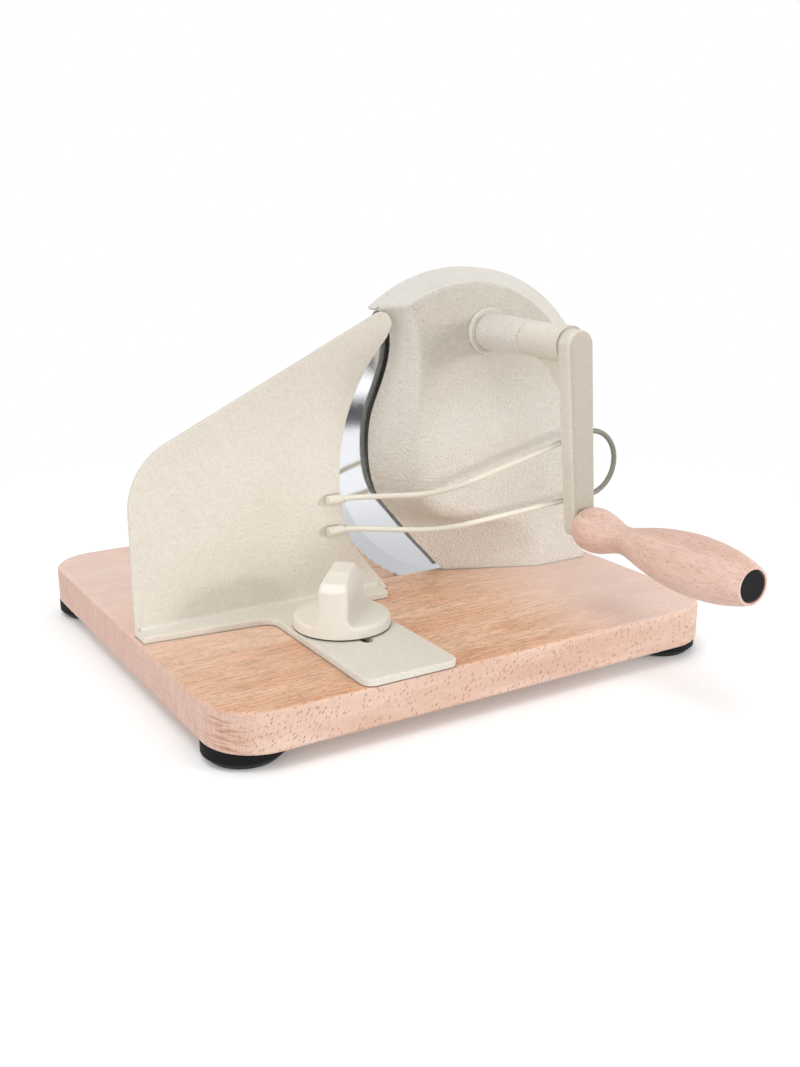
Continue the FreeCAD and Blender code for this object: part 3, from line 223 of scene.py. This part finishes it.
def enamel(name, colour, pebble, pit_shade_and_speckle, roughness, front=None, fade=None, crease_shade=0.5):
    """Cream enamel on a casting: soft mottling, pebbles and a fine grain, with painted shade.

    Pebble is the height of the pebbles, and the number after it is how much darker the pebbles'
    hollows, a painted shade, and the fine grain are. The front face can have its own colour, a
    painted shade, from one height up to another. The colour can also fade to another one along an
    axis, a painted shade where it is used. The last number is how dark the painted shade in
    creases is."""
    shader = Shader(name, Roughness=roughness, Coat_Weight=0.10, Coat_Roughness=0.22)
    here = shader.place()
    red, green, blue = colour
    light = linear(red + 3, green + 3, blue + 3)
    dark = linear(red - 5, green - 6, blue - 8)
    mottling = shader.noise(here, 16.0, 2.0)
    tint = shader.ramp(mottling, (0.32, dark), (0.66, light))
    # Painted shade: faces that look to the front take a darker colour above a height.
    if front is not None:
        low, high, other = front
        facing = shader.math(
            "MULTIPLY", shader.along("Y", -0.55, -0.90, "Normal"), shader.along("Z", low, high),
        )
        tint = shader.mix(facing, tint, linear(*other))
    # Painted shade: the colour darkens along an axis.
    if fade is not None:
        axis, first, last, other = fade
        tint = shader.mix(shader.along(axis, first, last), tint, linear(*other))
    pebbles = shader.noise(here, 640.0, 3.0, 0.62)
    # Painted shade: the pebbles' low hollows are darker, to deepen the relief.
    pit_shade = shader.ramp(pebbles, (0.36, 1.0 - pit_shade_and_speckle), (0.56, 1.0))
    grain = shader.noise(here, 1500.0, 1.0)
    fine = shader.ramp(grain, (0.30, 1.0 - pit_shade_and_speckle * 0.5), (0.62, 1.0))
    tint = shader.mix(1.0, tint, pit_shade, "MULTIPLY")
    tint = shader.mix(1.0, tint, fine, "MULTIPLY")
    # Painted shade: darker brown where another surface is close.
    tint = shader.mix(shader.crease(0.002, 1.0 - crease_shade), linear(112, 98, 82), tint)
    shader.put("Base Color", tint)
    shader.put("Normal", shader.bump(pebbles, pebble))
    return shader.material


def wood(name, along, tones, line_depth, marks_share, sheen):
    """Steamed beech: broad bands, thin streaks and dark dashes that run along one axis.

    The tones are those of the light, middle and dark bands and of the dashes."""
    shader = Shader(name, Roughness=0.48, Specular_IOR_Level=sheen)
    light, middle, dark, fleck = (linear(*tone) for tone in tones)

    def stretched(share):
        scale = [1.0, 1.0, 1.0]
        scale[along] = share
        return shader.place(tuple(scale))

    bands = shader.noise(stretched(0.12), 60.0, 4.0, 0.6, 0.6)
    tint = shader.ramp(bands, (0.32, dark), (0.48, middle), (0.64, light))
    streaks = shader.noise(stretched(0.07), 900.0, 4.0, 0.7)
    lines = shader.ramp(streaks, (0.34, 1.0 - line_depth), (0.56, 1.0))
    tint = shader.mix(1.0, tint, lines, "MULTIPLY")
    marks = shader.dashes(stretched(0.15), 1250.0, marks_share, 0.32)
    tint = shader.mix(shader.math("MULTIPLY", marks, 0.75), tint, fleck)
    return shader, tint, marks, streaks


def finish_wood(shader, tint, contact_shade, marks, streaks, groove, strength):
    """Wood's colour with painted shade where another surface is close, and its fine grooves."""
    shader.put("Base Color", shader.mix(shader.crease(0.003), linear(*contact_shade), tint))
    grooves = shader.math("SUBTRACT", shader.math("MULTIPLY", streaks, 0.4), marks)
    shader.put("Normal", shader.bump(grooves, groove, strength))
    return shader.material


def board_material():
    """The board: orange pink on top, paler at its right, and paler at its rear left as a painted
    sheen.

    Its long sides have slanted flecks, and its ends have end grain. The front left corner shows
    the rings."""
    tones = ((243, 204, 173), (235, 188, 154), (224, 169, 133), (162, 98, 68))
    shader, top, marks, streaks = wood("beech_board", 0, tones, 0.40, 0.85, 0.32)
    pale = shader.mix(0.66, top, linear(243, 219, 211))
    # Painted sheen: the top is paler towards its rear left. It is also paler at its right.
    rear_left_sheen = shader.math(
        "MULTIPLY", shader.along("X", 0.02, -0.15), shader.along("Y", -0.09, 0.12),
    )
    right = shader.along("X", 0.015, 0.105)
    top = shader.mix(shader.math("MAXIMUM", rear_left_sheen, right), top, pale)

    cloud = shader.noise(shader.place((0.2, 1.0, 1.0)), 110.0, 3.0)
    ground = shader.ramp(cloud, (0.30, linear(217, 180, 159)), (0.70, linear(233, 204, 187)))
    slanted = shader.place((1.0, 1.0, 0.34), (0.0, math.radians(-34), 0.0))
    bold = shader.dashes(slanted, 820.0, 0.68, 0.33)
    faint = shader.dashes(slanted, 1400.0, 0.8, 0.42)
    side = shader.mix(shader.math("MULTIPLY", faint, 0.40), ground, linear(200, 150, 126))
    side = shader.mix(shader.math("MULTIPLY", bold, 0.80), side, linear(166, 112, 88))

    rays = shader.noise(shader.place((1.0, 1.0, 0.10)), 1150.0, 3.0, 0.7)
    rings = shader.noise(shader.place((0.10, 0.08, 1.0)), 560.0, 3.0, 0.7, 0.4)
    end = shader.ramp(rays, (0.34, linear(210, 173, 157)), (0.62, linear(230, 197, 181)))
    end = shader.mix(shader.math("MULTIPLY", faint, 0.35), end, linear(190, 146, 126))
    corner = shader.math(
        "MULTIPLY", shader.along("X", -0.128, -0.148), shader.along("Y", -0.068, -0.088),
    )
    ringed = shader.ramp(rings, (0.40, linear(214, 176, 148)), (0.52, WHITE))
    share = shader.math("ADD", 0.15, shader.math("MULTIPLY", corner, 0.7))
    end = shader.mix(share, end, shader.mix(1.0, end, ringed, "MULTIPLY"))

    normal = shader.add("SeparateXYZ", None, Vector=shader.add("TexCoord").outputs["Normal"])
    upward = shader.ramp(
        shader.math("ABSOLUTE", normal.outputs["Z"]), (0.55, 0.0), (0.85, 1.0),
    )
    endwise = shader.ramp(
        shader.math("ABSOLUTE", normal.outputs["X"]), (0.35, 0.0), (0.80, 1.0),
    )
    tint = shader.mix(upward, shader.mix(endwise, side, end), top)
    # The darkest colour passed here is the painted shade where another surface is close.
    return finish_wood(shader, tint, (92, 58, 42), marks, streaks, 0.00010, 0.8)


def grip_material():
    """The turned grip: pink beech, its grain along the handle."""
    tones = ((234, 201, 186), (227, 190, 174), (217, 177, 159), (182, 138, 120))
    shader, tint, marks, streaks = wood("beech_grip", 1, tones, 0.16, 0.55, 0.4)
    # The darkest colour passed here is the painted shade where another surface is close.
    return finish_wood(shader, tint, (110, 74, 58), marks, streaks, 0.00008, 0.7)


def blade_material():
    """Polished steel, ground round its axis, with a faint crown."""
    shader = Shader(
        "polished_steel", Metallic=1.0, Roughness=0.085, Anisotropic=0.8,
        Anisotropic_Rotation=0.25,
    )
    low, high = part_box("blade")
    centre = (Vector(low) + Vector(high)) / 2
    here = shader.add("TexCoord").outputs["Object"]
    offset = shader.add("VectorMath", {"operation": "SUBTRACT"}, _0=here, _1=centre)
    flat = shader.add(
        "VectorMath", {"operation": "MULTIPLY"}, _0=offset.outputs["Vector"], _1=(1, 0, 1),
    )
    length = shader.add("VectorMath", {"operation": "LENGTH"}, _0=flat.outputs["Vector"])
    reach = length.outputs["Value"]
    rings = shader.add("CombineXYZ", None, X=reach).outputs["Vector"]
    marks = shader.noise(rings, 2600.0, 4.0, 0.7)
    tint = shader.ramp(marks, (0.25, linear(234, 237, 242)), (0.75, linear(249, 250, 252)))
    shader.put("Base Color", tint)
    crown = shader.bump(shader.math("SUBTRACT", 1.0, reach), 0.05)
    shader.put("Normal", shader.bump(marks, 0.00004, 0.3, crown))
    around = shader.add("Tangent", {"direction_type": "RADIAL", "axis": "Y"})
    shader.put("Tangent", around.outputs["Tangent"])
    return shader.material


def turned_metal(name, colour, roughness):
    """Machined or plated metal with fine marks."""
    shader = Shader(name, Metallic=1.0, Roughness=roughness)
    marks = shader.noise(shader.place((1.0, 0.1, 1.0)), 1500.0, 3.0)
    red, green, blue = colour
    dark = linear(red - 22, green - 22, blue - 22)
    shader.put("Base Color", shader.ramp(marks, (0.3, dark), (0.7, linear(*colour))))
    shader.put("Normal", shader.bump(marks, 0.00003, 0.5))
    return shader.material


def moulded(name, colour, roughness, grain=0.00004, **sockets):
    """Rubber, fibre or moulded plastic with a slight grain."""
    shader = Shader(name, Roughness=roughness, **sockets)
    here = shader.place()
    cloud = shader.noise(here, 60.0, 3.0)
    low = linear(*(max(channel - 5, 0) for channel in colour))
    high = linear(*(channel + 5 for channel in colour))
    shader.put("Base Color", shader.ramp(cloud, (0.3, low), (0.7, high)))
    shader.put("Normal", shader.bump(shader.noise(here, 1400.0, 2.0), grain, 0.6))
    return shader.material


# The material of each slot, and of the nodes that have their own form of it.
FINISHES = {
    "board": board_material(),
    "grip": grip_material(),
    # Painted light: this cream is lighter than the castings' paint itself.
    "casting": enamel(
        "enamel_cast", (246, 241, 231), pebble=0.0026, pit_shade_and_speckle=0.05, roughness=0.42,
        # Painted shade: the cover's upper front is darker, as under the boss's shadow.
        front=(0.115, 0.165, (223, 215, 202)),
    ),
    "knob": enamel(
        "enamel_knob", (236, 231, 220), pebble=0.00003, pit_shade_and_speckle=0.02, roughness=0.36,
    ),
    "wire": enamel(
        "enamel_wire", (232, 227, 213), pebble=0.00003, pit_shade_and_speckle=0.03, roughness=0.36,
        # Painted shade: the wire darkens towards its loop at the right.
        fade=("X", 0.080, 0.112, (130, 129, 116)),
    ),
    "blade": blade_material(),
    "steel": turned_metal("turned_steel", (170, 172, 176), 0.32),
    "screw": turned_metal("zinc_plate", (188, 190, 194), 0.36),
    "brass": turned_metal("machined_brass", (206, 170, 96), 0.34),
    "hub": moulded("moulded_hub", (58, 58, 60), 0.55),
    "gear": moulded("acetal_gear", (226, 224, 214), 0.45),
    "foot": moulded("rubber_foot", (9, 8, 8), 0.7, grain=0.00010, Specular_IOR_Level=0.25),
    "cap": moulded("plastic_cap", (6, 6, 7), 0.45, Specular_IOR_Level=0.2),
    "washer": moulded("fibre_washer", (30, 28, 27), 0.7),
}
# Painted shade: the stop plate and the crank arm take darker copies of the castings' cream.
OWN_FINISHES = {
    "stop_plate": enamel(
        "enamel_plate", (232, 226, 214), pebble=0.0008, pit_shade_and_speckle=0.06, roughness=0.44,
        # Painted shade: the plate darkens towards its top.
        fade=("Z", 0.10, 0.18, (216, 209, 196)),
    ),
    "crank_arm": enamel(
        "enamel_arm", (223, 216, 203), pebble=0.0006, pit_shade_and_speckle=0.06, roughness=0.42,
        # Painted shade: the arm's front face is darker.
        front=(0.0, 0.01, (190, 181, 166)), crease_shade=0.1,
    ),
}


def dress_nodes():
    """Every carried over node takes the material of its slot, or its own form of it."""
    slots = {entry["node"]: entry["material_slot"] for entry in frame["record"]["subparts"]}
    for name, item in NODES.items():
        item.data.materials.clear()
        item.data.materials.append(OWN_FINISHES.get(name, FINISHES[slots[name]]))


# Recesses in the screws' heads

SCREW_CIRCLE = 0.0175  # the radius on which the blade's screws sit
BLADE_SCREW_TURNS = ((30, 12), (150, 50), (270, 76))  # place on the circle, turn of the cross
COVER_SCREWS = (  # X, Y and the turn of the cross
    (0.08825, 0.03075, 20),
    (0.12925, 0.02575, 65),
    (0.12925, 0.03825, 40),
)
FEET = ("foot_front_left", "foot_front_right", "foot_rear_left", "foot_rear_right")
ABOVE_HEAD = 0.0004  # how far a cutting shape stands out of the head
FLOOR_SHARE = 0.82  # the size of a recess at its floor, as a share of its mouth


def slot(reach, half):
    """The outline of a slot, from half its length and half its width."""
    return [(-reach, -half), (reach, -half), (reach, half), (-reach, half)]


def cross(reach, half):
    """The outline of a cross, from its reach and half its arms' width."""
    out = []
    for turn in range(4):
        angle = turn * math.pi / 2
        for u, v in ((reach, -half), (reach, half), (half, half)):
            out.append((
                u * math.cos(angle) - v * math.sin(angle),
                u * math.sin(angle) + v * math.cos(angle),
            ))
    return out


def recess(name, outline, depth, heads):
    """Puts a piece with a recess of one outline in each head in place of a node of screws.

    A head is the middle of its face, the direction that it faces and the recess's turn in
    degrees."""
    shape = bmesh.new()
    for middle, facing, turn in heads:
        facing = Vector(facing)
        across = facing.orthogonal().normalized()
        across.rotate(Quaternion(facing, math.radians(turn)))
        side = facing.cross(across)
        rings = []
        for level, size in ((ABOVE_HEAD, 1.0), (-depth, FLOOR_SHARE)):
            spot = Vector(middle) + facing * level
            rings.append([
                shape.verts.new(spot + (across * u + side * v) * size) for u, v in outline
            ])
        top, floor = rings
        shape.faces.new(top)
        shape.faces.new(floor[::-1])
        for index in range(len(outline)):
            shape.faces.new((top[index - 1], floor[index - 1], floor[index], top[index]))
    bmesh.ops.recalc_face_normals(shape, faces=shape.faces)
    cutter = add_object(name + "_cutter", finished_mesh(name + "_cutter", shape))
    piece = add_object(name + "_recessed", NODES[name].data.copy())
    for item in (cutter, piece):
        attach(item, body_of(NODES[name])[0])
    cutter.hide_render = cutter.hide_viewport = True
    cut = piece.modifiers.new("recess", "BOOLEAN")
    cut.object, cut.operation, cut.solver = cutter, "DIFFERENCE", "EXACT"
    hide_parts(name)
    SHOWN[name] = piece


def cut_screws():
    """The slot of the axle's screw, behind, and the crosses of the others, behind and below."""
    low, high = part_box("blade")
    axle_x, axle_z = (low[0] + high[0]) / 2, (low[2] + high[2]) / 2
    back, down = (0, 1, 0), (0, 0, -1)

    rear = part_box("axle_screw")[1][1]
    recess("axle_screw", slot(0.0066, 0.0010), 0.0016, [((axle_x, rear, axle_z), back, 25)])

    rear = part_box("blade_screws")[1][1]
    heads = []
    for degrees, turn in BLADE_SCREW_TURNS:
        angle = math.radians(degrees)
        x = axle_x + SCREW_CIRCLE * math.cos(angle)
        z = axle_z + SCREW_CIRCLE * math.sin(angle)
        heads.append(((x, rear, z), back, turn))
    recess("blade_screws", cross(0.0020, 0.0005), 0.0011, heads)

    heads = []
    for index, foot in enumerate(FEET):
        low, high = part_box(foot)
        x, y = (low[0] + high[0]) / 2, (low[1] + high[1]) / 2
        heads.append(((x, y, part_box("foot_screws")[0][2]), down, index * 33))
    recess("foot_screws", cross(0.0024, 0.0006), 0.0014, heads)

    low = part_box("cover_screws")[0][2]
    heads = [((x, y, low), down, turn) for x, y, turn in COVER_SCREWS]
    recess("cover_screws", cross(0.0028, 0.0007), 0.0018, heads)


# The studio

FLOOR_RADIUS, FLOOR_HEIGHT = 9.0, -0.0004
LAMPS = (  # watts, size and place
    ("key", 10.9, 1.0, (-0.7, -0.5, 1.8)),
    ("fill", 7.8, 0.30, (0.95, -1.15, 0.38)),
    ("side", 8.0, 1.2, (-1.7, -0.9, 0.6)),
    ("rim", 4.0, 0.9, (0.3, 1.6, 1.5)),
)
LAMP_TARGET = Vector((0.0, 0.0, 0.08))
WORLD_LIGHT = 0.63
FLAGS = (  # brightness, Y, left, right, low and high
    ("flag_front_low", 0.07, -0.6, 0.0, 0.7, 0.0, 0.047),
    ("card_front", 1.3, -0.6, 0.0, 0.7, 0.047, 0.091),
    ("flag_front_high", 0.07, -0.6, 0.0, 0.7, 0.091, 0.60),
    ("flag_rear_low", 0.12, 0.75, -0.9, 0.5, 0.02, 0.085),
    ("flag_rear_high", 0.12, 0.75, -0.9, 0.5, 0.20, 0.34),
)
OUT_OF_REFLECTIONS = ("base_board", "foot", "handle")

PICTURE_SIZE = 1067.0  # the longer side of the picture, in pixels
FOCAL_LENGTH = 1172.94  # in the same pixels
SENSOR_SIZE = 36.0
CAMERA_PLACE = (-0.33703, -0.54136, 0.2560)
CAMERA_DOWN, CAMERA_ROLL, CAMERA_LEFT = 16.22, 0.07, 31.32  # in degrees


def floor_material():
    """White paper that keeps the shadow near the slicer and is pure white further away.

    Reflections show it darker under the slicer, a painted shadow, and darker towards the back."""
    paper = Shader(
        "studio_paper", Base_Color=(0.84, 0.84, 0.84, 1.0), Roughness=0.9,
        Specular_IOR_Level=0.0,
    )
    place = paper.add("TexCoord").outputs["Object"]
    reach = paper.add("VectorMath", {"operation": "LENGTH"}, _0=place).outputs["Value"]
    white = paper.add("BsdfDiffuse", None, Color=WHITE).outputs[0]
    lift = paper.add("Emission", None, Strength=0.10).outputs[0]
    near = paper.add("AddShader", None, _0=white, _1=lift).outputs[0]
    glow = paper.add("Emission", None, Strength=1.0).outputs[0]
    away = paper.rise(reach, 0.22, 0.60)
    shown = paper.add("MixShader", None, _0=away, _1=near, _2=glow).outputs[0]
    behind = paper.add("SeparateXYZ", None, Vector=place).outputs["Y"]
    # Painted shadow: in reflections the paper glows dimmer under the slicer, and dimmer towards
    # the back.
    level = paper.math(
        "MULTIPLY", paper.rise(reach, 0.02, 0.30, 0.60), paper.rise(behind, 0.08, 0.60, 1.0, 0.60),
    )
    mirrored = paper.add("Emission", None, Strength=level).outputs[0]
    path = paper.add("LightPath")
    seen = path.outputs["Is Camera Ray"]
    whole = paper.add("MixShader", None, _0=seen, _1=paper.surface.outputs[0], _2=shown)
    whole = paper.add(
        "MixShader", None, _0=paper.reflected(path), _1=whole.outputs[0], _2=mirrored,
    )
    paper.wire(whole.outputs[0], paper.tree.nodes["Material Output"].inputs["Surface"])
    return paper.material


def floor_and_world():
    """The floor, and an even white world, which reflections show darker towards its top."""
    bpy.ops.mesh.primitive_circle_add(
        vertices=128, radius=FLOOR_RADIUS, fill_type="NGON", location=(0.0, 0.0, FLOOR_HEIGHT),
    )
    floor = bpy.context.active_object
    floor.name = "studio_floor"
    floor.data.materials.append(floor_material())

    world = bpy.data.worlds.new("studio_world")
    bpy.context.scene.world = world
    world.use_nodes = True
    sky = Nodes(world.node_tree)
    background = world.node_tree.nodes["Background"]
    background.inputs["Color"].default_value = WHITE
    path = sky.add("LightPath")
    reflected = sky.reflected(path)
    way = sky.add("TexCoord").outputs["Generated"]
    height = sky.add("SeparateXYZ", None, Vector=way).outputs["Z"]
    level = sky.rise(path.outputs["Is Camera Ray"], 0.0, 1.0, WORLD_LIGHT)
    mirrored = sky.rise(height, 0.05, 0.9, 1.0, 0.62)
    choice = sky.add("Mix", {"data_type": "FLOAT"}, Factor=reflected, _2=level, _3=mirrored)
    sky.wire(choice.outputs[0], background.inputs["Strength"])


def lamps():
    """Soft lamps that point at the middle of the slicer."""
    for name, power, size, place in LAMPS:
        lamp = bpy.data.lights.new(name, "AREA")
        lamp.energy, lamp.size = power, size
        holder = add_object(name, lamp)
        holder.location = place
        way = LAMP_TARGET - Vector(place)
        holder.rotation_euler = way.to_track_quat("-Z", "Y").to_euler()


def flags():
    """Dark flags and a light card that stand in front and behind, seen only in reflections."""
    for name, strength, y, left, right, low, high in FLAGS:
        shape = bmesh.new()
        corners = [(left, y, low), (right, y, low), (right, y, high), (left, y, high)]
        shape.faces.new([shape.verts.new(corner) for corner in corners])
        flag = add_object(name, finished_mesh(name, shape))
        card = Shader(
            name, Base_Color=BLACK, Roughness=1.0, Specular_IOR_Level=0.0,
            Emission_Color=WHITE, Emission_Strength=strength,
        )
        flag.data.materials.append(card.material)
        flag.visible_camera = flag.visible_diffuse = flag.visible_shadow = False
    for name, item in SHOWN.items():
        if name.startswith(OUT_OF_REFLECTIONS):
            item.visible_glossy = False


def photo_camera():
    """The camera that was fitted to the board, the feet and the cover's circle."""
    lens = bpy.data.cameras.new("photo_camera")
    lens.sensor_fit = "AUTO"
    lens.sensor_width = SENSOR_SIZE
    lens.lens = FOCAL_LENGTH * SENSOR_SIZE / PICTURE_SIZE
    lens.clip_start, lens.clip_end = 0.01, 50.0
    camera = add_object("photo_camera", lens)
    camera.location = CAMERA_PLACE
    turns = (90 - CAMERA_DOWN, CAMERA_ROLL, -CAMERA_LEFT)
    camera.rotation_euler = Euler([math.radians(turn) for turn in turns])
    bpy.context.scene.camera = camera


dress_nodes()
cut_screws()
floor_and_world()
lamps()
flags()
photo_camera()
bpy.context.scene.view_settings.view_transform = "Standard"
